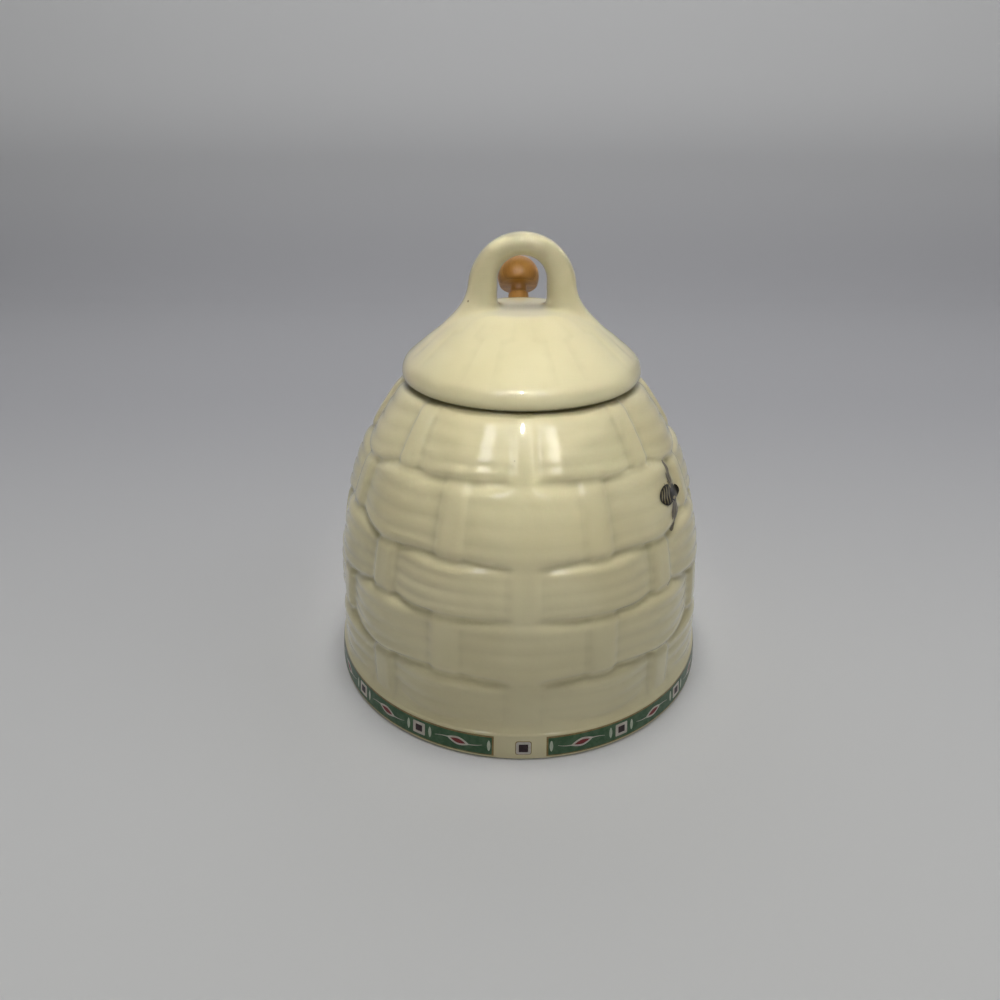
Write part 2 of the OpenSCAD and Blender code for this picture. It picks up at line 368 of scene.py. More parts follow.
@dataclass(frozen=True)
class TurnedWood:
    """Oiled hardwood with its grain along the dipper, darker the deeper it lies in the grooves of the head.
    """

    pale: Colour = (0.54, 0.285, 0.060)
    mid: Colour = (0.41, 0.190, 0.032)
    dark: Colour = (0.22, 0.088, 0.014)
    groove_tone: Colour = (0.12, 0.045, 0.012)
    roughness: float = 0.34
    pore_roughness: float = 0.15
    coat: float = 0.25
    coat_roughness: float = 0.18
    grain_stretch: float = 0.06
    pore_stretch: float = 0.12
    ring_scale: float = 0.11
    fibre_scale: float = 1.6
    pore_scale: float = 3.2
    depth: float = 0.03

    def material(self, name: str, tilt: float) -> bpy.types.Material:
        """Makes the material `name`.

        Args:
            name: The material's name.
            tilt: How far the grain leans from Z towards +Y, in radians.

        Returns:
            The material.
        """
        shader = Shader(name)
        along = shader.place((tilt, 0.0, 0.0), (1.0, 1.0, self.grain_stretch))
        rings = shader.node("ShaderNodeTexWave", {
            "wave_type": "RINGS", "rings_direction": "Z", "wave_profile": "SAW"}, {
                "Vector": along, "Scale": self.ring_scale, "Distortion": 5.0, "Detail": 3.0,
                "Detail Scale": 0.6})
        grain = Value(shader, rings.outputs["Fac"])
        fibre = shader.noise(along, self.fibre_scale, 4.0, 0.65)
        across = shader.place((tilt, 0.0, 0.0), (1.0, 1.0, self.pore_stretch))
        pores = shader.noise(across, self.pore_scale).step(0.60, 0.74)
        tone = shader.node("ShaderNodeValToRGB", {"stops": [
            (0.0, self.dark), (0.45, self.mid), (1.0, self.pale)]}, {0: grain * 0.45 + fibre * 0.65})
        colour = shader.mix(pores * 0.35, tone.outputs[0], self.dark)
        colour = shader.mix(shader.attribute("hollow"), colour, self.groove_tone)
        shader.set(Base_Color=colour, Roughness=pores * self.pore_roughness + self.roughness,
                   Coat_Weight=self.coat, Coat_Roughness=self.coat_roughness)
        shader.bump(fibre - pores, self.depth)
        return shader.material


@dataclass(frozen=True)
class Backdrop:
    """Plain matt paper for the floor and the wall behind. Its colour is painted light and shade: paler up
    the wall and at the front, darker at the back.
    """

    near: Colour = (0.68, 0.68, 0.67)
    far: Colour = (0.47, 0.47, 0.49)
    high: Colour = (0.90, 0.90, 0.895)
    near_to_far: Point = (-160.0, 260.0)
    far_to_high: Point = (5.0, 200.0)
    roughness: float = 0.9
    specular: float = 0.1

    def material(self, name: str) -> bpy.types.Material:
        """Makes the material `name`.

        Args:
            name: The material's name.

        Returns:
            The material.
        """
        shader = Shader(name)
        where = shader.place()
        # Painted light and shade on the paper: paler at the front and up the wall, darker towards the back.
        floor = shader.mix(shader.axis(where, 1).step(*self.near_to_far), self.near, self.far)
        colour = shader.mix(shader.axis(where, 2).step(*self.far_to_high), floor, self.high)
        shader.set(Base_Color=colour, Roughness=self.roughness, Specular_IOR_Level=self.specular)
        return shader.material


# Mesh tools


def arc(centre: Point, radius: float, start: float, end: float, steps: int) -> list[Point]:
    """Points of an arc in the profile plane.

    Args:
        centre: Its centre, as radius and height.
        radius: Its radius.
        start: Angle of the first point in degrees, from outwards towards up.
        end: Angle of the last point.
        steps: Steps between them.

    Returns:
        The points.
    """
    angles = [math.radians(start + (end - start) * i / steps) for i in range(steps + 1)]
    return [(centre[0] + radius * math.cos(a), centre[1] + radius * math.sin(a)) for a in angles]


def squarish(power: float) -> Form:
    """Form that makes a unit circle an ellipse at a power of 1, squarer below and more pointed above."""
    return lambda x, y: (math.copysign(abs(x) ** power, x), math.copysign(abs(y) ** power, y))


def turned(profile: Sequence[Point], columns: int) -> Mesh:
    """Turns a profile about Z into a closed skin.

    Args:
        profile: Points as radius and height, from the axis back to the axis.
        columns: Steps round the axis.

    Returns:
        The skin, with its faces pointing outwards.
    """
    bm = bmesh.new()
    verts = [bm.verts.new((0.0, -r, z)) for r, z in profile]
    edges = [bm.edges.new(pair) for pair in zip(verts, verts[1:])]
    bmesh.ops.spin(bm, geom=verts + edges, cent=(0, 0, 0), axis=(0, 0, 1), angle=math.tau,
                   steps=columns, use_merge=True)
    bmesh.ops.remove_doubles(bm, verts=bm.verts, dist=MERGE)
    bmesh.ops.recalc_face_normals(bm, faces=bm.faces)
    return bm


def points_of(bm: Mesh) -> np.ndarray:
    """All points of a mesh as rows of x, y and z."""
    return np.array([v.co for v in bm.verts], dtype=float)


def move_points(bm: Mesh, places: np.ndarray) -> None:
    """Moves every point of a mesh to the row of the same number."""
    for vert, place in zip(bm.verts, places):
        vert.co = place


def mark_points(bm: Mesh, name: str, numbers: np.ndarray) -> None:
    """Keeps a number on every point of a mesh, for its material."""
    layer = bm.verts.layers.float.get(name) or bm.verts.layers.float.new(name)
    for vert, number in zip(bm.verts, numbers):
        vert[layer] = float(number)


def polar(places: np.ndarray) -> tuple[np.ndarray, np.ndarray, np.ndarray]:
    """Angles round the pot in degrees, 0 at the front and growing towards +X, with radii and heights."""
    x, y, z = places.T
    return np.degrees(np.arctan2(x, -y)), np.hypot(x, y), z


def placed(bm: Mesh, name: str) -> bpy.types.Object:
    """Puts a mesh in the scene as an object, and uses the mesh up.

    Args:
        bm: The mesh.
        name: The object's name.

    Returns:
        The object.
    """
    mesh = bpy.data.meshes.new(name)
    bm.to_mesh(mesh)
    bm.free()
    made = bpy.data.objects.new(name, mesh)
    bpy.context.scene.collection.objects.link(made)
    return made


def removed(made: bpy.types.Object) -> None:
    """Takes an object and its mesh out of the scene.

    Args:
        made: The object.
    """
    mesh = made.data
    bpy.data.objects.remove(made)
    bpy.data.meshes.remove(mesh)


def finished(bm: Mesh, name: str, material: bpy.types.Material, part: Part) -> bpy.types.Object:
    """Makes a piece of the object from a mesh in millimetres.

    Args:
        bm: The mesh, which is used up.
        name: The piece's name.
        material: Its finish.
        part: The part that it rides on.

    Returns:
        The piece.
    """
    bmesh.ops.scale(bm, vec=(MM, MM, MM), verts=bm.verts)
    for face in bm.faces:
        face.smooth = True
    piece = placed(bm, name)
    piece.data.materials.append(material)
    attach(piece, part.body)
    LOG.info("%s: %d triangles", name, sum(len(face.vertices) - 2 for face in piece.data.polygons))
    return piece


def standing_in(bm: Mesh, name: str, material: bpy.types.Material, part: Part) -> bpy.types.Object:
    """Makes a finished piece, as above, that takes the place of its part's plain solid.

    Args:
        bm: The mesh, which is used up.
        name: The piece's name.
        material: Its finish.
        part: The part that it rides on.

    Returns:
        The piece.
    """
    piece = finished(bm, name, material, part)
    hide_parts(part.body)
    return piece


def with_modifiers(bm: Mesh, *modifiers: tuple[str, dict[str, Any]]) -> Mesh:
    """Applies modifiers to a mesh.

    Args:
        bm: The mesh, which is used up.
        modifiers: Each modifier's type and settings, where a mesh stands for a helper object.

    Returns:
        The new mesh.
    """
    helpers = [placed(bm, "helper")]
    for kind, settings in modifiers:
        modifier = helpers[0].modifiers.new(kind.lower(), kind)
        for key, value in settings.items():
            if isinstance(value, Mesh):
                value = placed(value, "helper")
                helpers.append(value)
            setattr(modifier, key, value)
    graph = bpy.context.evaluated_depsgraph_get()
    graph.update()
    result = bmesh.new()
    mesh = bpy.data.meshes.new_from_object(helpers[0].evaluated_get(graph), depsgraph=graph)
    result.from_mesh(mesh)
    bpy.data.meshes.remove(mesh)
    for made in helpers:
        removed(made)
    return result


def smoothed(bm: Mesh, verts: Sequence[bmesh.types.BMVert], times: int) -> None:
    """Evens out part of a mesh a number of times."""
    for _ in range(times):
        bmesh.ops.smooth_vert(bm, verts=verts, factor=0.5, use_axis_x=True, use_axis_y=True, use_axis_z=True)


# Weave


@dataclass(frozen=True)
class Relief:
    """The form that one patch of basket weave takes across a stake and its weavers."""

    stake_half: float
    crease: float
    step: float = 22.5
    lift: float = 0.5
    bulge: float = 1.0
    dip: float = 0.7
    reed_depth: float = 0.45
    row_depth: float = 1.1
    row_edge: float = 0.14
    reed_round: float = 0.7
    row_round: float = 1.5

    def gap(self, angle: np.ndarray, row: np.ndarray) -> np.ndarray:
        """Angle from the nearest stake that shows in a row, in degrees.

        Args:
            angle: Angles round the pot in degrees, 0 at the front.
            row: Rows of weaving, counted from the foot.

        Returns:
            The angles between.
        """
        period = 2 * self.step
        a = angle - (row % 2) * self.step
        return np.abs(a - period * np.round(a / period))

    def on_stake(self, gap: np.ndarray) -> np.ndarray:
        """Whether the stake rather than its weavers shows at an angle from it."""
        return gap < (self.stake_half + self.crease) / 2

    def height(self, gap: np.ndarray) -> np.ndarray:
        """Height over the mean surface at an angle from the nearest stake that shows.

        Args:
            gap: Angles from the nearest stake that shows, in degrees.

        Returns:
            The heights, in millimetres.
        """
        way = np.clip((gap - self.crease) / (self.step - self.crease), 0, 1)
        weaver = -self.dip + (self.bulge + self.dip) * np.sin(way * np.pi / 2)
        side = np.clip((gap - self.stake_half) / (self.crease - self.stake_half), 0, 1)
        return np.where(gap < self.crease, self.lift - side * (self.lift + self.dip), weaver)

    def reed(self, v: np.ndarray, reeds: int) -> np.ndarray:
        """Depth of the grooves between the reeds of a row, at a share of its height."""
        return self.reed_depth * (1 - np.abs(np.sin(np.pi * reeds * v)) ** self.reed_round)

    def edge(self, v: np.ndarray) -> np.ndarray:
        """Depth of the groove along a row's edges, at a share of its height."""
        return self.row_depth * np.clip(1 - np.minimum(v, 1 - v) / self.row_edge, 0, 1) ** self.row_round


def softened(raw: Callable[[np.ndarray, np.ndarray], np.ndarray], along: np.ndarray, up: np.ndarray,
             reach: float) -> np.ndarray:
    """Averages a height over its surroundings, as glaze does.

    Args:
        raw: The height at places along and up the surface, in millimetres.
        along: Places along the surface.
        up: Places up the surface.
        reach: How far the surroundings reach in each direction.

    Returns:
        The softened height at every place.
    """
    offsets = np.linspace(-reach, reach, GLAZE_TAPS)
    weights = np.exp(-2.0 * (offsets / reach) ** 2)
    total = np.zeros_like(along)
    for du, wu in zip(offsets, weights):
        for dv, wv in zip(offsets, weights):
            total += wu * wv * raw(along + du, up + dv)
    return total / weights.sum() ** 2


# Pot


@dataclass
class Pot:
    """The slip-cast pot: its foot, its woven wall and its mouth."""

    height: float = 88.8
    belly_r: float = 54.6
    mouth_r: float = 28.8
    land_w: float = 4.2
    mouth_edge_r: float = 1.2
    wall: float = 5.2
    floor: float = 6.3
    floor_fillet: float = 8.0
    shoulder_power: float = 3.0
    band_h: float = 8.3
    band_proud: float = 1.7
    band_lean: float = 0.6
    band_edge_r: float = 0.9
    foot_edge_r: float = 0.8
    foot_ring_w: float = 7.0
    recess: float = 1.6
    rows: int = 5
    reeds: int = 4
    row_wave: float = 1.1
    root: float = 3.0
    rim_round: float = 1.6
    flare_h: float = 6.5
    flare_inset: float = 0.6
    flare_over: float = 0.1
    seam_start: float = 11.0
    seam_end: float = 36.0
    seam_mark: Point = (2.0, 9.0)
    seam_weave: float = 0.3
    seam_reed: float = 0.45
    seam_line: float = 0.15
    front_panel: Point = (26.0, 42.0)
    line_lift: tuple[float, ...] = (-0.9, 0.7, -1.3, 1.5)
    glaze_reach: float = 1.1
    pool_and_shade_reach: float = 2.6
    pool_and_shade_depth: float = 0.9
    land_shadow: float = 0.9
    columns: int = 352
    weave_rings: int = 176
    inner_rings: int = 22
    flat_r: float = 26.0
    weave_stop: float = 0.5
    lip_share: float = 0.95
    relief: Relief = field(default_factory=lambda: Relief(stake_half=3.36, crease=4.72, reed_depth=0.42))

    @property
    def rim_r(self) -> float:
        """Radius of the wall at the land."""
        return self.mouth_r + self.land_w

    @property
    def band_top_r(self) -> float:
        """Radius of the band at its top."""
        return self.belly_r + self.band_proud

    @property
    def foot_r(self) -> float:
        """Radius of the band at the table."""
        return self.band_top_r + self.band_lean

    @property
    def row_h(self) -> float:
        """Height of a row of weaving."""
        return (self.height - self.band_h) / self.rows

    def rise(self, z: Any) -> Any:
        """Share of the shoulder's curve at a height."""
        return np.clip((z - self.band_h) / (self.height - self.band_h), 0, None) ** self.shoulder_power

    def outer_r(self, z: Any) -> Any:
        """Mean radius of the weave at a height."""
        return self.belly_r - (self.belly_r - self.rim_r) * self.rise(z)

    def inner_r(self, z: Any) -> Any:
        """Radius of the wall inside at a height."""
        inner = self.belly_r - self.wall
        return inner - (inner - self.mouth_r) * self.rise(z)

    def band_r(self, z: Any) -> Any:
        """Radius of the band at a height."""
        low, high = self.foot_edge_r, self.band_h - self.band_edge_r
        return self.foot_r - self.band_lean * (z - low) / (high - low)

    def seam(self, angle: np.ndarray, start: float, end: float) -> np.ndarray:
        """0 within `start` degrees of the seams at the front and the back, 1 past `end` degrees.

        Args:
            angle: Angles round the pot in degrees, 0 at the front.
            start: Where the result is 0, in degrees from a seam.
            end: Where the result is 1.

        Returns:
            The shares, from 0 to 1.
        """
        a = np.abs(angle - 180 * np.round(angle / 180))
        way = np.clip((a - start) / (end - start), 0, 1)
        return way * way * (3 - 2 * way)

    def foot_flare(self, z: np.ndarray) -> np.ndarray:
        """Radius of the soft flare that leads from the wall to the band, and 0 above it.

        Args:
            z: Heights above the table.

        Returns:
            The radii.
        """
        way = np.clip(1 - (z - self.band_h) / self.flare_h, 0, 1)
        grown = (self.band_proud + self.flare_over) * way * way
        return np.where(way > 0, self.belly_r - self.flare_inset + grown, 0.0)

    def raw_height(self, angle: np.ndarray, z: np.ndarray) -> np.ndarray:
        """Height of the weave over its mean surface.

        Args:
            angle: Angles round the pot in degrees, 0 at the front and growing towards +X.
            z: Heights above the table.

        Returns:
            The height at every place, in millimetres.
        """
        fade = self.seam(angle, self.seam_start, self.seam_end)
        outer = self.seam(angle, *self.front_panel)
        mark = self.seam(angle, *self.seam_mark)
        step = self.relief.step
        lines = [np.full_like(angle, self.band_h - self.root)]
        for row in range(1, self.rows):
            wave = self.row_wave * outer * np.cos(np.pi / step * (angle - (row % 2) * step))
            lines.append(self.band_h + row * self.row_h + wave + self.line_lift[row - 1] * (1 - outer))
        lines.append(np.full_like(angle, self.height))
        rows = sum((z >= line).astype(int) for line in lines[1:-1])
        low, high = np.choose(rows, lines[:-1]), np.choose(rows, lines[1:])
        v = np.clip((z - low) / (high - low), 0, 1)
        gap = self.relief.gap(angle, rows)
        plain = [share + (1 - share) * part for share, part in (
            (self.seam_weave, fade), (self.seam_reed, fade), (self.seam_line, mark))]
        reed = np.where(self.relief.on_stake(gap), 0, self.relief.reed(v, self.reeds))
        return self.relief.height(gap) * plain[0] - reed * plain[1] - self.relief.edge(v) * plain[2]

    def weave_height(self, angle: np.ndarray, z: np.ndarray, reach: float) -> np.ndarray:
        """Height of the weave averaged over a reach, at angles in degrees and heights.

        Args:
            angle: Angles round the pot in degrees, 0 at the front.
            z: Heights above the table.
            reach: How far the glaze evens it out.

        Returns:
            The heights over the mean surface, in millimetres.
        """
        per_degree = np.radians(self.outer_r(z))

        def raw(along: np.ndarray, up: np.ndarray) -> np.ndarray:
            """Height at places along and up the wall."""
            return self.raw_height(along / per_degree, up)

        return softened(raw, angle * per_degree, z, reach)

    def profile(self) -> list[Point]:
        """The pot's outline, from the middle of the recess round to the middle of the floor.

        Returns:
            The points, as radius and height.
        """
        ring_r = self.foot_r - self.foot_ring_w
        foot_edge = (self.foot_r - self.foot_edge_r, self.foot_edge_r)
        band_edge = (self.band_top_r - self.band_edge_r, self.band_h - self.band_edge_r)
        mouth_edge = (self.mouth_r + self.mouth_edge_r, self.height - self.mouth_edge_r)
        low = self.floor + self.floor_fillet
        high = self.height - 2 * self.mouth_edge_r
        floor_edge = (float(self.inner_r(low)) - self.floor_fillet, low)
        weave = np.linspace(self.band_h, self.height - self.weave_stop, self.weave_rings + 1)
        return [
            (0.0, self.recess), (self.flat_r, self.recess), (ring_r - self.recess - 0.5, self.recess),
            (ring_r - self.recess, self.recess - 0.2), (ring_r - 0.4, 0.3), (ring_r - 0.1, 0.05),
            (ring_r + 0.2, 0.0),
            *arc(foot_edge, self.foot_edge_r, -90, 0, 6),
            (self.band_r(self.band_h / 2), self.band_h / 2),
            *arc(band_edge, self.band_edge_r, 0, 60, 5),
            *[(float(self.outer_r(z)), float(z)) for z in weave],
            (self.rim_r - 1.2, self.height - 0.25), (self.rim_r - 1.9, self.height - 0.05),
            (self.rim_r - 2.2, self.height), (mouth_edge[0] + 0.3, self.height),
            *arc(mouth_edge, self.mouth_edge_r, 90, 180, 6),
            *[(float(self.inner_r(z)), float(z)) for z in np.linspace(high, low, self.inner_rings)],
            *arc(floor_edge, self.floor_fillet, 0, -90, 8)[1:],
            (self.flat_r, self.floor), (0.0, self.floor)]

    def shaped(self) -> Mesh:
        """Turns the outline and raises the weave on its wall.

        Returns:
            The mesh, with its hollows marked for the glaze's pooling and painted shade, and its land marked
            for a painted shadow under the lid.
        """
        bm = turned(self.profile(), self.columns)
        places = points_of(bm)
        angle, radius, z = polar(places)
        outside = radius > (self.outer_r(z) + self.inner_r(z)) / 2
        woven = (z > self.band_h - NEAR) & (z < self.height - self.weave_stop + NEAR) & outside
        turn, up = angle[woven], z[woven]
        raised = self.weave_height(turn, up, self.glaze_reach)
        lip = self.lip_share * np.clip((up - self.height + self.rim_round) / self.rim_round, 0, 1)
        rounded = radius[woven] + raised - self.rim_round * (1 - np.sqrt(1 - lip ** 2))
        grown = np.maximum(rounded, self.foot_flare(up))
        places[woven, :2] *= (grown / radius[woven])[:, None]
        # Partly glaze pooling, partly painted shade: darker the deeper a point lies below the weave's broad
        # average.
        pooled_and_shaded = np.clip((self.weave_height(turn, up, self.pool_and_shade_reach) - raised) / self.pool_and_shade_depth, 0, 1)
        hollow = np.zeros(len(places))
        hollow[woven] = pooled_and_shaded * np.clip((up - self.band_h) / self.root, 0, 1)
        # Painted shadow: the land under the lid's rim is marked fully dark, for the shade in the gap between
        # lid and pot.
        hollow[(z > self.height - self.land_shadow) & (radius > self.mouth_r)] = 1.0
        move_points(bm, places)
        mark_points(bm, "hollow", hollow)
        return bm

    def build(self) -> bpy.types.Object:
        """Builds the glazed pot in place of its plain solid."""
        return standing_in(self.shaped(), "pot_body", Glaze().material("pot_glaze"), Part.POT)


# Dipper


@dataclass
class Dipper:
    """The turned dipper: grooved head, handle, neck and ball knob on one leaning line."""

    handle_r: float = 3.2
    neck_r: float = 2.5
    knob_r: float = 6.55
    knob_cut: float = 3.1
    head_r: float = 12.5
    head_len: float = 36.0
    discs: int = 8
    disc_share: float = 0.55
    disc_edge: float = 0.55
    top_share: float = 0.55
    groove_tone_depth: float = 3.0
    groove_tone: float = 0.85
    core_r: float = 5.2
    length: float = 126.07
    head_y: float = -30.0915
    head_z: float = 19.1
    tilt: float = math.radians(38.3022)
    columns: int = 72

    @property
    def placing(self) -> Matrix:
        """From the dipper's own line, tip at the origin, to its place in the pot."""
        return (Matrix.Translation((0, self.head_y, self.head_z)) @ Matrix.Rotation(-self.tilt, 4, "X")
                @ Matrix.Translation((0, 0, -self.head_r)))

    def head_outline(self, t: float) -> float:
        """Radius of the head's outline at a distance from its tip.

        Args:
            t: The distance from the tip.

        Returns:
            The radius.
        """
        top = self.head_len - self.head_r
        if t < self.head_r:
            return math.sqrt(max(0.0, t * (2 * self.head_r - t)))
        if t < top:
            return self.head_r
        return self.head_r * math.sqrt(1 - self.top_share * ((t - top) / self.head_r) ** 2)

    def disc(self, number: int) -> list[Point]:
        """The outline of one disc, with round edges.

        Args:
            number: The disc's number, counted from the tip.

        Returns:
            The points, as radius and distance.
        """
        pitch, edge = self.head_len / self.discs, self.disc_edge
        low, high = number * pitch, (number + self.disc_share) * pitch
        start, end = self.head_outline(low + edge), self.head_outline(high - edge)
        lower = [] if number == 0 else [(self.core_r, low - 0.25), (self.core_r + 0.25, low),
                                        (max(start - edge, self.core_r + 0.3), low)]
        return [*lower, (start - 0.3 * edge, low + 0.25 * edge), (start, low + edge),
                ((start + end) / 2 + 0.06, (low + high) / 2), (end, high - edge),
                (end - 0.3 * edge, high - 0.25 * edge), (end - edge, high), (self.core_r + 0.25, high),
                (self.core_r, high + 0.25)]

    def profile(self) -> list[Point]:
        """The dipper's outline from its tip to the top of its knob.

        Returns:
            The points, as radius and distance from the tip.
        """
        under = self.length - self.knob_cut
        start = -math.degrees(math.asin(self.knob_cut / self.knob_r))
        rim = self.knob_r * math.cos(math.radians(start))
        round_off = self.handle_r - self.neck_r
        return [
            (0.0, 0.0), (2.2, 0.12), (3.9, 0.5),
            *[p for k in range(self.discs) for p in self.disc(k)],
            (self.core_r, self.head_len + 0.2), (self.handle_r + 0.3, self.head_len + 4.4),
            (self.handle_r, self.head_len + 5.4), (self.handle_r, self.head_len + 40),
            (self.handle_r, under - 3.4),
            *arc((self.neck_r, under - 3.2), round_off, 0, 90, 5),
            (self.neck_r, under - 2.2), (self.neck_r, under - 0.3), (self.neck_r + 0.3, under),
            (rim - 0.35, under), (rim - 0.05, under + 0.12),
            *arc((0.0, self.length), self.knob_r, start + 3, 90, 24)]

    def build(self) -> bpy.types.Object:
        """Builds the wooden dipper in place of its plain solid.

        Returns:
            The piece.
        """
        bm = turned(self.profile(), self.columns)
        _, radius, along = polar(points_of(bm))
        outline = np.array([self.head_outline(min(t, self.head_len)) for t in along])
        # The head is darker the deeper a point lies in its grooves.
        depth = np.clip((outline - radius) / self.groove_tone_depth, 0, 1)
        mark_points(bm, "hollow", np.where(along < self.head_len, depth * self.groove_tone, 0.0))
        bmesh.ops.transform(bm, matrix=self.placing, verts=bm.verts)
        return standing_in(bm, "dipper_turned", TurnedWood().material("turned_wood", self.tilt), Part.DIPPER)


# Lid


@dataclass
class Lid:
    """The slip-cast lid: its rim, woven crown, loop handle, collar and the notch at its back."""

    pot: Pot
    dipper: Dipper
    overhang: float = 0.2
    rise: float = 18.9
    plateau_r: float = 11.5
    blend: float = 5.7
    low_r: float = 1.8
    top_r: float = 5.6
    rim_turn: float = 50.0
    wall: float = 4.4
    seat_gap: float = 0.3
    collar_depth: float = 7.0
    collar_t: float = 2.8
    collar_gap: float = 1.0
    share: float = 0.17
    out_share: float = 0.5
    up_share: float = 0.8
    glaze_reach: float = 0.7
    pool_and_shade_depth: float = 1.1
    rim_shadow: float = 0.7
    reeds: int = 3
    gap_w: float = 13.1
    gap_h: float = 13.5
    bar_t: float = 5.8
    leg_t: float = 7.9
    leg_flare: float = 0.055
    loop_depth: float = 8.6
    foot_deeper: float = 0.5
    leg_shares: tuple[float, ...] = (1.0, 0.88, 0.76, 0.64, 0.52, 0.4, 0.28, 0.14)
    arch_sections: int = 31
    loop_sides: int = 32
    loop_square: float = 0.8
    notch_gap: float = 1.5
    notch_way: float = 1.92
    voxel: float = 0.43
    soft_passes: int = 7
    joint_passes: int = 34
    joint_x: Point = (5.0, 25.0)
    joint_y: float = 10.0
    joint_over: Point = (-1.2, 4.5)
    columns: int = 288
    crown_rings: int = 58
    inner_rings: int = 16
    hollow_ring: float = 6.0
    top_rings: Place = (7.5, 3.7, 0.0)
    relief: Relief = field(default_factory=lambda: Relief(stake_half=5.106, crease=6.893))

    @property
    def lid_r(self) -> float:
        """Radius of the lid."""
        return self.pot.rim_r + self.overhang

    @property
    def seat_z(self) -> float:
        """Height of the lid's flat underside."""
        return self.pot.height + self.seat_gap

    @property
    def plateau_z(self) -> float:
        """Height of the flat top under the loop."""
        return self.pot.height + self.rise

    @property
    def crown_r(self) -> float:
        """Radius at which the rim turns into the crown."""
        return self.lid_r - self.top_r * (1 - math.cos(math.radians(self.rim_turn)))

    @property
    def arch_z(self) -> float:
        """Height of the centre of the loop's arch."""
        return self.plateau_z + self.gap_h - self.gap_w / 2

    def run(self, r: Any) -> Any:
        """Run of the crown's curve from the flat top to a radius."""
        return np.hypot(r - self.plateau_r, self.blend) - self.blend

    def crown_z(self, r: Any) -> Any:
        """Height of the crown's mean surface at a radius.

        Args:
            r: The radius, or several.

        Returns:
            The height, or the heights.
        """
        rim_mid = self.seat_z + self.low_r
        fall = self.plateau_z - rim_mid - self.top_r * math.sin(math.radians(self.rim_turn))
        return self.plateau_z - fall / self.run(self.crown_r) * self.run(r)

    def crown_height(self, angle: np.ndarray, r: np.ndarray) -> np.ndarray:
        """Height of the crown's weave as the glaze leaves it, at angles in degrees and radii.

        Args:
            angle: Angles round the pot in degrees, 0 at the front.
            r: Radii.

        Returns:
            The heights over the mean surface, in millimetres.
        """
        middle = (self.crown_r + self.plateau_r) / 2 - 1
        per_degree = np.radians(r)

        def raw(along: np.ndarray, out: np.ndarray) -> np.ndarray:
            """Height at places along and out from the crown's middle.

            Args:
                along: Places along the crown.
                out: Their radii.

            Returns:
                The raw heights.
            """
            turn = along / per_degree
            inner = (out < middle).astype(int)
            low = np.where(inner == 1, middle, self.crown_r)
            high = np.where(inner == 1, self.plateau_r, middle)
            v = np.clip((low - out) / (low - high), 0, 1)
            gap = self.relief.gap(turn, inner + self.pot.rows)
            reed = np.where(self.relief.on_stake(gap), 0, self.relief.reed(v, self.reeds))
            edge = np.where((inner == 0) & (v < 0.5), 0, self.relief.edge(v) / 2)
            return self.relief.height(gap) - reed - edge

        way = np.clip((self.crown_r - r) / (self.crown_r - self.plateau_r), 0, 1)
        soft = softened(raw, angle * per_degree, r, self.glaze_reach)
        return self.share * np.sin(np.pi * way ** 0.6) * soft

    def profile(self) -> list[Point]:
        """The lid's outline, from the middle of its hollow round to the middle of its top.

        Returns:
            The points, as radius and height.
        """
        collar_r = self.pot.mouth_r - self.collar_gap
        inner_r = collar_r - self.collar_t
        bottom = self.seat_z - self.collar_depth
        rim_z = self.seat_z + self.low_r
        soft = 0.7
        hollow = np.linspace(self.plateau_r, inner_r, self.inner_rings)
        crown = np.linspace(self.crown_r, self.plateau_r, self.crown_rings)
        return [
            (0.0, self.plateau_z - self.wall), (self.hollow_ring, self.plateau_z - self.wall),
            *[(float(r), float(self.crown_z(r)) - self.wall) for r in hollow],
            *arc((inner_r + soft, bottom + soft), soft, 180, 270, 4),
            *arc((collar_r - soft, bottom + soft), soft, -90, 0, 4),
            (collar_r, self.seat_z - 0.3), (collar_r + 0.3, self.seat_z),
            *arc((self.lid_r - self.low_r, rim_z), self.low_r, -90, -6, 7),
            *arc((self.lid_r - self.top_r, rim_z), self.top_r, 0, self.rim_turn - 4, 10),
            *[(float(r), float(self.crown_z(r))) for r in crown],
            *[(r, self.plateau_z) for r in self.top_rings]]

    def crown(self) -> Mesh:
        """The lid without its loop and its notch, with the weave raised on its crown.

        Returns:
            The mesh.
        """
        bm = turned(self.profile(), self.columns)
        places = points_of(bm)
        angle, radius, z = polar(places)
        on_crown = z > self.crown_z(radius) - 0.5
        woven = (radius > self.plateau_r) & (radius <= self.crown_r + NEAR) & on_crown
        raised = self.crown_height(angle[woven], radius[woven])
        places[woven, :2] *= (1 + self.out_share * raised / radius[woven])[:, None]
        places[woven, 2] += self.up_share * raised
        move_points(bm, places)
        return bm

    def stations(self) -> list[tuple[Point, Point, float]]:
        """Inner point, outer point and depth of the loop's sections, from foot to foot.

        Returns:
            The sections, each with its inner point, outer point and depth.
        """
        gap = self.gap_w / 2
        sink = self.wall / 2
        foot_x = gap + self.leg_t + self.leg_flare * (self.arch_z - self.plateau_z + sink) ** 2
        foot_z = float(self.crown_z(foot_x)) - self.wall / 4

        def leg(side: float, t: float) -> tuple[Point, Point, float]:
            """A section of a leg, from the arch at 0 to the foot at 1.

            Args:
                side: 1 for the leg past +X, -1 for the other.
                t: How far down the leg.

            Returns:
                The inner point, the outer point and the depth.
            """
            outer_z = self.arch_z + t * (foot_z - self.arch_z)
            outer_x = gap + self.leg_t + self.leg_flare * (self.arch_z - outer_z) ** 2
            inner_z = self.arch_z + t * (self.plateau_z - sink - self.arch_z)
            depth = self.loop_depth * (1 + self.foot_deeper * t * t)
            return (side * gap, inner_z), (side * outer_x, outer_z), depth

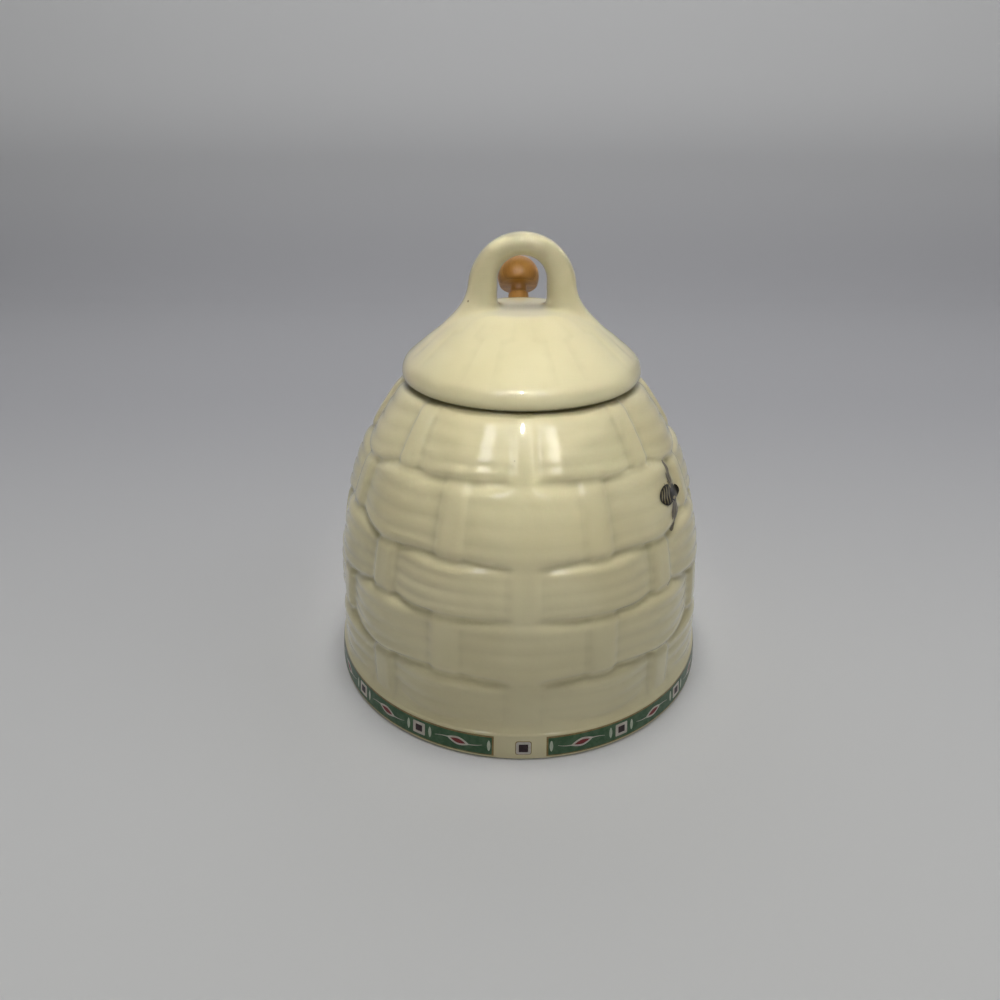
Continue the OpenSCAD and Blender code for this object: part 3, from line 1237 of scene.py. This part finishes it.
        def arch(angle: float) -> tuple[Point, Point, float]:
            """A section of the arch, at an angle in degrees from straight up.

            Args:
                angle: The angle.

            Returns:
                The inner point, the outer point and the depth.
            """
            thick = self.bar_t + (self.leg_t - self.bar_t) * (abs(angle) / 90) ** 2
            way = (math.sin(math.radians(angle)), math.cos(math.radians(angle)))
            inner, outer = [(r * way[0], self.arch_z + r * way[1]) for r in (gap, gap + thick)]
            return inner, outer, self.loop_depth

        return [*[leg(-1, t) for t in self.leg_shares],
                *[arch(a) for a in np.linspace(-90, 90, self.arch_sections)],
                *[leg(1, t) for t in reversed(self.leg_shares)]]

    def loop(self) -> Mesh:
        """The loop handle as a closed skin whose feet lie inside the crown.

        Returns:
            The mesh.
        """
        bm = bmesh.new()
        square = squarish(self.loop_square)
        rings: list[list[bmesh.types.BMEdge]] = []
        for inner, outer, depth in self.stations():
            verts = bmesh.ops.create_circle(bm, cap_ends=False, segments=self.loop_sides,
                                             radius=1.0)["verts"]
            middle = Vector(((inner[0] + outer[0]) / 2, 0.0, (inner[1] + outer[1]) / 2))
            half = Vector(((outer[0] - inner[0]) / 2, 0.0, (outer[1] - inner[1]) / 2))
            for vert in verts:
                across, deep = square(vert.co.x, vert.co.y)
                vert.co = middle + half * across + Vector((0.0, depth / 2 * deep, 0.0))
            rings.append(list({edge for vert in verts for edge in vert.link_edges}))
        for near, far in zip(rings, rings[1:]):
            bmesh.ops.bridge_loops(bm, edges=near + far)
        bmesh.ops.holes_fill(bm, edges=rings[0] + rings[-1], sides=0)
        bmesh.ops.recalc_face_normals(bm, faces=bm.faces)
        return bm

    def notch(self) -> list[Mesh]:
        """The two cutters of the notch: a bore on the dipper's line, and its way out to the back.

        Returns:
            The two meshes.
        """
        reach = self.lid_r + self.rise + self.collar_depth
        radius = self.dipper.handle_r + self.notch_gap
        bore, way = bmesh.new(), bmesh.new()
        bmesh.ops.create_cone(bore, cap_ends=True, segments=64, radius1=radius, radius2=radius,
                              depth=2 * reach)
        bmesh.ops.create_cube(way, size=1.0)
        bmesh.ops.scale(way, vec=(self.notch_way * radius, reach, 2 * reach), verts=way.verts)
        bmesh.ops.translate(way, vec=(0, reach / 2, 0), verts=way.verts)
        for bm in (bore, way):
            bmesh.ops.translate(bm, vec=(0, 0, self.dipper.length), verts=bm.verts)
            bmesh.ops.transform(bm, matrix=self.dipper.placing, verts=bm.verts)
        return [bore, way]

    def shaped(self) -> Mesh:
        """Joins crown and loop in one skin, cuts the notch and softens every edge as glaze does.

        Returns:
            The mesh.
        """
        cuts = [("BOOLEAN", {"operation": "DIFFERENCE", "solver": "EXACT", "object": cutter})
                for cutter in self.notch()]
        bm = with_modifiers(self.crown(), *cuts)
        handle = placed(self.loop(), "helper")
        bm.from_mesh(handle.data)
        removed(handle)
        bm = with_modifiers(bm, ("REMESH", {"mode": "VOXEL", "voxel_size": self.voxel, "adaptivity": 0.0}))
        smoothed(bm, bm.verts[:], self.soft_passes)
        smoothed(bm, [vert for vert in bm.verts if self.at_joint(vert.co)], self.joint_passes)
        bmesh.ops.recalc_face_normals(bm, faces=bm.faces)
        return bm

    def at_joint(self, place: Vector) -> bool:
        """Whether a place is where a leg of the loop runs into the crown."""
        over = place.z - float(self.crown_z(max(math.hypot(place.x, place.y), self.plateau_r)))
        return (self.joint_x[0] < abs(place.x) < self.joint_x[1] and abs(place.y) < self.joint_y
                and self.joint_over[0] < over < self.joint_over[1])

    def build(self) -> bpy.types.Object:
        """Builds the glazed lid in place of its plain solid.

        Returns:
            The piece.
        """
        bm = self.shaped()
        angle, radius, z = polar(points_of(bm))
        on_crown = np.abs(z - self.crown_z(radius)) < 1.0
        crown = (radius > self.plateau_r) & (radius < self.crown_r) & on_crown
        hollow = np.zeros(len(z))
        # Partly glaze pooling, partly painted shade in the crown's grooves.
        hollow[crown] = np.clip(-self.crown_height(angle[crown], radius[crown]) / self.pool_and_shade_depth, 0, 1)
        # Painted shadow: the rim's underside, where it sits over the pot, is marked fully dark.
        hollow[(z < self.seat_z + self.rim_shadow) & (radius > self.pot.mouth_r)] = 1.0
        mark_points(bm, "hollow", hollow)
        return standing_in(bm, "lid_body", Glaze().material("lid_glaze"), Part.LID)


# Prints


def almond(x: float, y: float) -> Point:
    """Form that makes a unit circle an almond with pointed ends."""
    return x, math.copysign(1 - abs(x) ** ALMOND_POWER, y) if abs(x) < 1 - NEAR else 0.0


def tapered(taper: float) -> Form:
    """Form that makes a unit circle an oval, wider at its far end by a share."""
    return lambda x, y: (x, y * (1 + taper * x))


def sliced(bm: Mesh, across: Place, places: Sequence[float]) -> None:
    """Cuts a flat sheet across a direction at each of several places, so that it can bend."""
    for place in places:
        bmesh.ops.bisect_plane(bm, geom=bm.verts[:] + bm.edges[:] + bm.faces[:], dist=1e-5,
                               plane_co=[place * part for part in across], plane_no=across)


@dataclass
class Printed:
    """A print on the pot. It is drawn flat, with a sheet for each ink, and then laid round the pot."""

    name: ClassVar[str]
    inks: ClassVar[type[Enum]]
    pot: Pot
    sheets: dict[Enum, Mesh] = field(default_factory=dict)

    def __post_init__(self) -> None:
        """Starts an empty sheet for every ink."""
        self.sheets = {ink: bmesh.new() for ink in self.inks}

    def shape(self, ink: Enum, centre: Point, half: Point, form: Form, turn: float = 0.0,
              segments: int = 28) -> None:
        """Adds a filled shape to an ink's sheet.

        Args:
            ink: The ink.
            centre: Its centre.
            half: Half its length and width.
            form: What makes a unit circle its shape.
            turn: Direction of its length in degrees.
            segments: Points round it.
        """
        bm = self.sheets[ink]
        verts = bmesh.ops.create_circle(bm, cap_ends=True, segments=segments, radius=1.0)["verts"]
        for vert in verts:
            x, y = form(vert.co.x, vert.co.y)
            vert.co = (x * half[0], y * half[1], 0.0)
        bmesh.ops.rotate(bm, cent=(0, 0, 0), matrix=Matrix.Rotation(math.radians(turn), 3, "Z"), verts=verts)
        bmesh.ops.translate(bm, vec=(*centre, 0), verts=verts)

    def draw(self) -> None:
        """Draws the print flat, in millimetres."""
        raise NotImplementedError

    def lay(self, bm: Mesh, layer: float) -> None:
        """Lays a flat sheet round the pot, at a height over its skin."""
        raise NotImplementedError

    def build(self) -> list[bpy.types.Object]:
        """Draws the print and lays it on the pot, one piece for each ink.

        Returns:
            The pieces.
        """
        self.draw()
        pieces = []
        for ink, bm in self.sheets.items():
            self.lay(bm, ink.value.layer)
            bm.normal_update()
            inward = [f for f in bm.faces if f.normal.xy.dot(f.calc_center_median().xy) < 0]
            bmesh.ops.reverse_faces(bm, faces=inward)
            name = f"{self.name}_{ink.name.lower()}"
            pieces.append(finished(bm, name, ink.value.material(name), Part.POT))
        return pieces


class BorderInk(Enum):
    """The inks of the printed border."""

    GOLD = Enamel((0.235, 0.150, 0.050), (0.33, 0.24, 0.09), 0.04)
    GREEN = Enamel((0.038, 0.100, 0.042), (0.080, 0.150, 0.078), 0.07)
    WHITE = Enamel((0.62, 0.58, 0.50), (0.50, 0.46, 0.38), 0.10)
    PALE = Enamel((0.56, 0.60, 0.48), (0.42, 0.49, 0.36), 0.10)
    DARK = Enamel((0.022, 0.010, 0.012), (0.05, 0.022, 0.024), 0.13)
    RED = Enamel((0.23, 0.028, 0.028), (0.15, 0.03, 0.03), 0.13)


@dataclass
class Border(Printed):
    """The geometric border that is printed on the foot band in two long panels."""

    name = "border"
    inks = BorderInk
    low_z: float = 1.05
    high_z: float = 7.35
    edge_w: float = 0.5
    edge_share: float = 0.6
    panel_starts: Point = (6.4, 7.8)
    first_leaf: float = 10.0
    leaves: int = 7
    leaf_half: Point = (3.35, 1.3)
    leaf_eye: Point = (2.25, 0.72)
    leaf_turn: float = 11.0
    leaf_drop: float = 0.05
    tail_len: float = 4.1
    tail_w: float = 0.34
    tail_root: float = 0.82
    tail_steps: int = 9
    tail_curl: Point = (0.18, 0.75)
    tail_taper: float = 0.75
    square: float = 3.9
    square_eye: float = 2.15
    square_dash: float = 3.55
    end_dash: float = 1.35
    dash_half: Point = (0.48, 1.75)
    square_power: float = 0.12
    rim_power: float = 0.3
    dash_power: float = 1.2
    points: int = 24
    lone_squares: Point = (0.2, 180.0)
    lone_drop: float = 0.2
    lone_halves: tuple[float, float, float] = (2.2, 2.02, 1.25)
    slice_step: float = 1.2

    @property
    def mid_z(self) -> float:
        """Height of the border's middle."""
        return (self.low_z + self.high_z) / 2

    @property
    def per_degree(self) -> float:
        """Millimetres round the band for one degree."""
        return math.radians(self.pot.band_r(self.mid_z))

    def rectangle(self, ink: BorderInk, low: Point, high: Point) -> None:
        """Adds a filled rectangle between two corners to an ink's sheet.

        Args:
            ink: The ink.
            low: The corner at the lower left.
            high: The corner at the upper right.
        """
        bm = self.sheets[ink]
        verts = bmesh.ops.create_grid(bm, x_segments=1, y_segments=1, size=0.5)["verts"]
        bmesh.ops.scale(bm, vec=(high[0] - low[0], high[1] - low[1], 1), verts=verts)
        bmesh.ops.translate(bm, vec=((low[0] + high[0]) / 2, (low[1] + high[1]) / 2, 0), verts=verts)

    def tail(self, centre: Point, side: float, turn: float) -> None:
        """Adds one of a leaf's curling tails.

        Args:
            centre: The leaf's centre.
            side: 1 for the tail past +X, -1 for the other.
            turn: The leaf's turn in degrees.
        """
        lean = math.copysign(1.0, turn)
        start = Vector((side * self.leaf_half[0] * self.tail_root, 0, 0))
        start.rotate(Matrix.Rotation(math.radians(turn), 3, "Z"))
        grid = bmesh.ops.create_grid(self.sheets[BorderInk.WHITE], x_segments=self.tail_steps, y_segments=1,
                                     size=0.5)["verts"]
        for vert in grid:
            t = vert.co.x + 0.5
            curl = self.tail_curl[0] * t - self.tail_curl[1] * t * t
            thin = self.tail_w * (1 - self.tail_taper * t) * (1 if vert.co.y > 0 else -1)
            vert.co = (centre[0] + start.x + side * self.tail_len * t,
                       centre[1] + start.y + side * lean * curl + thin / 2, 0)

    def leaf(self, centre: Point, turn: float) -> None:
        """Adds a leaf with its eye and its two tails.

        Args:
            centre: The leaf's centre.
            turn: Its turn in degrees.
        """
        self.shape(BorderInk.WHITE, centre, self.leaf_half, almond, turn)
        self.shape(BorderInk.RED, centre, self.leaf_eye, almond, turn)
        self.tail(centre, 1, turn)
        self.tail(centre, -1, turn)

    def dash(self, place: float) -> None:
        """Adds a short upright dash at a place along the band."""
        form = squarish(self.dash_power)
        self.shape(BorderInk.PALE, (place, self.mid_z), self.dash_half, form, segments=self.points)

    def squares(self, centre: Point, *layers: tuple[BorderInk, float, float]) -> None:
        """Adds squares in one another, each with its ink, half its width and its form's power."""
        for ink, half, power in layers:
            self.shape(ink, centre, (half, half), squarish(power), segments=self.points)

    def panel(self, side: int, start: float) -> None:
        """Draws one panel.

        Args:
            side: 1 for the panel on the right of the front, -1 for the left.
            start: Degrees from the front to the panel's near end, and from the back to its far end.
        """
        mm = self.per_degree
        near, far = start * mm, (180 - start) * mm
        first = start + self.first_leaf
        step = (180 - 2 * first) / (self.leaves - 1)
        low, high = sorted((side * near, side * far))
        self.rectangle(BorderInk.GOLD, (low, self.low_z), (high, self.high_z))
        self.rectangle(BorderInk.GREEN, (low + self.edge_w, self.low_z + self.edge_share * self.edge_w),
                       (high - self.edge_w, self.high_z - self.edge_w))
        for number in range(self.leaves):
            place = side * (first + number * step) * mm
            self.leaf((place, self.mid_z - self.leaf_drop), side * self.leaf_turn)
        for number in range(self.leaves - 1):
            place = side * (first + (number + 0.5) * step) * mm
            self.squares((place, self.mid_z),
                         (BorderInk.WHITE, self.square / 2, self.square_power),
                         (BorderInk.DARK, self.square_eye / 2, self.square_power))
            for way in (-1, 1):
                self.dash(place + way * self.square_dash * mm)
        for place in (near + self.end_dash * mm, far - self.end_dash * mm):
            self.dash(side * place)

    def draw(self) -> None:
        """Draws both panels and the squares between them."""
        for side, start in zip((1, -1), self.panel_starts):
            self.panel(side, start)
        rim, white, eye = self.lone_halves
        for place in self.lone_squares:
            self.squares((place * self.per_degree, self.mid_z - self.lone_drop),
                         (BorderInk.GOLD, rim, self.rim_power), (BorderInk.WHITE, white, self.rim_power),
                         (BorderInk.DARK, eye, self.square_power))

    def lay(self, bm: Mesh, layer: float) -> None:
        """Bends a flat sheet round the band, at a height over its skin.

        Args:
            bm: The sheet.
            layer: The height over the skin.
        """
        mm = self.per_degree
        sliced(bm, (1, 0, 0), np.arange(-180.0, 196.0, self.slice_step) * mm)
        for vert in bm.verts:
            angle = math.radians(vert.co.x / mm)
            radius = float(self.pot.band_r(vert.co.y)) + layer
            vert.co = (radius * math.sin(angle), -radius * math.cos(angle), vert.co.y)
        bmesh.ops.remove_doubles(bm, verts=bm.verts, dist=MERGE)


class BeeInk(Enum):
    """The inks of the printed bee."""

    WING = Enamel((0.15, 0.125, 0.080), (0.24, 0.205, 0.135), 0.10)
    VEIN = Enamel((0.05, 0.040, 0.025), (0.09, 0.07, 0.045), 0.12)
    BODY = Enamel((0.012, 0.010, 0.006), (0.028, 0.022, 0.012), 0.14)
    STRIPE = Enamel((0.26, 0.22, 0.11), (0.16, 0.13, 0.06), 0.16)


@dataclass
class Bee(Printed):
    """A small plain bee seen from above, printed on a weaver at the right of the front.

    A wing is its root, its direction, its length and its width, and a vein its share of the wing's length,
    its width and its turn from the wing. A body part and a fleck are a place along the body and to its
    side, half a length and width, and a taper or a turn. A stripe is its place and half its width. A leg
    and a feeler are a place along and to the side, a length, a width, a lean and a taper.
    """

    name = "bee"
    inks = BeeInk
    angle: float = 55.4
    z: float = 64.6
    body_turn: float = -15.0
    wings: ClassVar = (((2.4, 1.6), 82.0, 6.6, 3.0), ((1.6, 1.4), 102.0, 4.4, 1.4),
                       ((2.6, -2.0), 240.0, 9.6, 4.1), ((1.4, -2.0), 226.0, 6.0, 1.6))
    wing_taper: float = -0.35
    veins: ClassVar = ((0.93, 0.34, -5.0), (0.62, 0.28, 6.0))
    vein_taper: float = -0.4
    body: ClassVar = ((-2.6, (4.1, 2.75), 0.10), (2.4, (2.6, 2.4), 0.0), (5.4, (1.4, 1.8), 0.0))
    stripes: ClassVar = ((-5.4, 1.5), (-4.1, 2.15), (-2.6, 2.45), (-1.0, 2.35))
    flecks: ClassVar = (((2.2, -1.3), (1.2, 0.4), 0.0), ((-0.2, 2.5), (1.3, 0.5), -50.0))
    legs: ClassVar = ((-2.2, 1.7, 1.9, 0.3, 128.0, -0.3), (0.6, 1.7, 1.9, 0.3, 112.0, -0.3),
                      (3.2, 1.7, 1.9, 0.3, 70.0, -0.3), (5.2, 0.6, 1.3, 0.24, 28.0, -0.2))
    stripe_half: float = 0.33
    slices: float = 12.0
    slice_step: float = 0.5

    def reach(self, ink: BeeInk, start: Point, length: float, width: float, turn: float,
              taper: float) -> None:
        """Adds an oval that starts at a point and reaches out in a direction.

        Args:
            ink: The ink.
            start: Where it starts.
            length: Its length.
            width: Its width.
            turn: Its direction in degrees.
            taper: How much wider its far end is, as a share.
        """
        way = math.radians(turn)
        centre = (start[0] + math.cos(way) * length / 2, start[1] + math.sin(way) * length / 2)
        self.shape(ink, centre, (length / 2, width / 2), tapered(taper), turn)

    def along(self, t: float, side: float = 0.0) -> Point:
        """A point at a distance along the body from its middle, and to its side."""
        way = math.radians(self.body_turn)
        return (t * math.cos(way) - side * math.sin(way), t * math.sin(way) + side * math.cos(way))

    def draw(self) -> None:
        """Draws wings with veins, a body in three parts, stripes, flecks, legs and feelers."""
        turn = self.body_turn
        for start, way, length, width in self.wings:
            self.reach(BeeInk.WING, start, length, width, way, self.wing_taper)
            for share, vein, lean in self.veins:
                self.reach(BeeInk.VEIN, start, length * share, vein, way + lean, self.vein_taper)
        for place, half, taper in self.body:
            self.shape(BeeInk.BODY, self.along(place), half, tapered(taper), turn)
        for place, width in self.stripes:
            self.shape(BeeInk.STRIPE, self.along(place), (self.stripe_half, width), tapered(0.0), turn)
        for place, half, way in self.flecks:
            self.shape(BeeInk.STRIPE, self.along(*place), half, tapered(0.0), turn + way)
        for side in (1, -1):
            for place, out, length, width, lean, taper in self.legs:
                root = self.along(place, side * out)
                self.reach(BeeInk.VEIN, root, length, width, turn + side * lean, taper)

    def lay(self, bm: Mesh, layer: float) -> None:
        """Lays a flat sheet on the weave, at a height over the glaze.

        Args:
            bm: The sheet.
            layer: The height over the glaze.
        """
        for across in ((1, 0, 0), (0, 1, 0)):
            sliced(bm, across, np.arange(-self.slices, self.slices, self.slice_step))
        flat = points_of(bm)
        below, middle, above = [float(self.pot.outer_r(self.z + dz)) for dz in (-1, 0, 1)]
        z = self.z + flat[:, 1] / math.hypot(1, (above - below) / 2)
        angle = self.angle + np.degrees(flat[:, 0] / middle)
        raised = self.pot.weave_height(angle, z, self.pot.glaze_reach)
        radius = self.pot.outer_r(z) + raised + layer
        turn = np.radians(angle)
        move_points(bm, np.stack([radius * np.sin(turn), -radius * np.cos(turn), z], axis=1))


# Studio


class Use(Enum):
    """What a lamp is for: to light the pot, to shine in its glaze, or both."""

    LIGHT = "light"
    SHINE = "shine"
    BOTH = "both"


@dataclass(frozen=True)
class Lamp:
    """A soft rectangular lamp. Its place, aim and size are in metres, its power in watts, and its spread
    says in radians how widely its light fans out."""

    name: str
    place: Place
    aim: Place
    size: Point
    power: float
    use: Use
    spread: float = math.pi

    def build(self) -> None:
        """Hangs the lamp."""
        light = bpy.data.lights.new(self.name, "AREA")
        light.shape = "RECTANGLE"
        light.size, light.size_y = self.size
        light.energy = self.power
        light.spread = self.spread
        lamp = bpy.data.objects.new(self.name, light)
        lamp.location = self.place
        lamp.rotation_euler = (Vector(self.aim) - Vector(self.place)).to_track_quat("-Z", "Y").to_euler()
        lamp.visible_glossy = self.use is not Use.LIGHT
        lamp.visible_diffuse = self.use is not Use.SHINE
        bpy.context.scene.collection.objects.link(lamp)


@dataclass
class Studio:
    """Pale floor and wall, soft lamps, and the camera at the photograph's viewing angle."""

    lens: float = 27.04
    sensor: float = 36.0
    nearest: float = 0.01
    eye: Place = (-0.0063, -0.2048, 0.1524)
    pitch: float = 26.76
    heading: float = 0.11
    floor_y: float = -1.6
    wall_y: float = 0.62
    wall_top: float = 2.2
    bend: float = 0.12
    half_width: float = 2.2
    lamps: tuple[Lamp, ...] = (
        Lamp("lamp_above", (0.0, 0.03, 1.3), (0, 0, 0.06), (0.5, 0.4), 7.7, Use.LIGHT),
        Lamp("lamp_side", (1.1, -0.1, 0.9), (0, 0, 0.05), (0.8, 0.8), 1.4, Use.LIGHT),
        Lamp("lamp_narrow", (0.0, -0.5, 0.75), (0, -0.03, 0.104), (0.02, 0.09), 0.0150, Use.BOTH, 0.17),
        Lamp("strip_left", (-0.38, -0.85, 1.02), (0, 0, 0.06), (0.15, 0.6), 1.8, Use.SHINE),
        Lamp("strip_right", (0.34, -0.85, 1.02), (0, 0, 0.06), (0.17, 0.6), 1.9, Use.SHINE))
    sky: Colour = (0.95, 0.97, 1.0)
    sky_strength: float = 0.12

    def ground(self) -> None:
        """Makes the floor and the wall behind as one sheet with a round bend."""
        bm = bmesh.new()
        profile = [(self.floor_y, 0.0), *arc((self.wall_y - self.bend, self.bend), self.bend, -90, 0, 12),
                   (self.wall_y, self.wall_top)]
        verts = [bm.verts.new((-self.half_width, y, z)) for y, z in profile]
        edges = [bm.edges.new(pair) for pair in zip(verts, verts[1:])]
        grown = bmesh.ops.extrude_edge_only(bm, edges=edges)["geom"]
        bmesh.ops.translate(bm, vec=(2 * self.half_width, 0, 0),
                            verts=[part for part in grown if isinstance(part, bmesh.types.BMVert)])
        bmesh.ops.recalc_face_normals(bm, faces=bm.faces)
        bm.normal_update()
        if bm.faces[:][0].normal.z < 0:
            bmesh.ops.reverse_faces(bm, faces=bm.faces[:])
        for face in bm.faces:
            face.smooth = True
        floor = placed(bm, "floor")
        floor.data.materials.append(Backdrop().material("floor"))

    def camera(self) -> None:
        """Adds the camera."""
        lens = bpy.data.cameras.new("camera")
        lens.lens = self.lens
        lens.sensor_width = self.sensor
        lens.clip_start = self.nearest
        camera = bpy.data.objects.new("camera", lens)
        camera.location = self.eye
        camera.rotation_euler = (math.radians(90 - self.pitch), 0.0, -math.radians(self.heading))
        bpy.context.scene.collection.objects.link(camera)
        bpy.context.scene.camera = camera

    def build(self) -> None:
        """Sets the whole stage."""
        self.ground()
        self.camera()
        for lamp in self.lamps:
            lamp.build()
        world = bpy.data.worlds.new("studio")
        world.use_nodes = True
        back = world.node_tree.nodes["Background"]
        back.inputs["Color"].default_value = (*self.sky, 1.0)
        back.inputs["Strength"].default_value = self.sky_strength
        bpy.context.scene.world = world
        bpy.context.scene.view_settings.view_transform = "Standard"


def main() -> None:
    """Builds the pot, its prints, the dipper, the lid and the studio."""
    logging.basicConfig(level=logging.INFO, format="%(name)s: %(message)s")
    pot = Pot()
    dipper = Dipper()
    pot.build()
    Border(pot).build()
    Bee(pot).build()
    dipper.build()
    Lid(pot, dipper).build()
    Studio().build()


if __name__ == "__main__":
    main()
